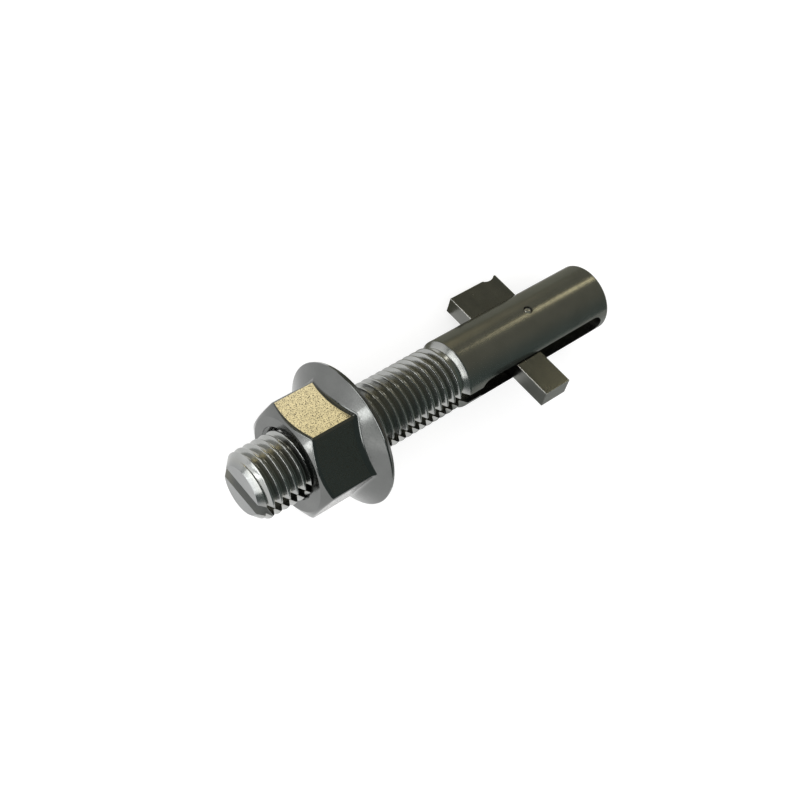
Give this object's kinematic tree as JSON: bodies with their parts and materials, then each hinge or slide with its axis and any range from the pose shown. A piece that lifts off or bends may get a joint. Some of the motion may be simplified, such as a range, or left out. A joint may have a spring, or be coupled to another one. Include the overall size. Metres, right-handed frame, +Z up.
{
  "type": "blind bolt",
  "caption": "Steel blind bolt with a slotted barrel, a fold-out toggle anchor on a cross pin, a grooved thread and a hexagon flange nut, for clamping from one side.",
  "frame": {"origin": "middle of the nut's flange bearing face, on the bolt's axis", "axes": "+Z up as it lies at rest, +X towards the slotted end along the floor; the bolt's axis dips 6.6 degrees from +X and the bolt is rolled so the wide arm's corner touches down"},
  "size_m": [0.1038, 0.034, 0.0339],
  "materials": {
    "shank_steel": "turned",
    "anchor_steel": "satin",
    "pin_steel": "bright",
    "nut_steel": "fine grain"
  },
  "bodies": {
    "bolt": {"bolt_shank": "shank_steel", "pivot_pin": "pin_steel"},
    "anchor": {"toggle_anchor": "anchor_steel"},
    "nut": {"flange_nut": "nut_steel"}
  },
  "joints": [
    {"name": "anchor_fold", "type": "hinge", "parent": "bolt", "child": "anchor", "pos_m": [0.05328, 0, -0.00613], "axis": [0.0972, 0.5254, 0.8453], "range_deg": [0, 90]},
    {"name": "nut_travel", "type": "slide", "parent": "bolt", "child": "nut", "axis": [0.9934, 0, -0.1143], "range_m": [-0.0275, 0.026]}
  ]
}
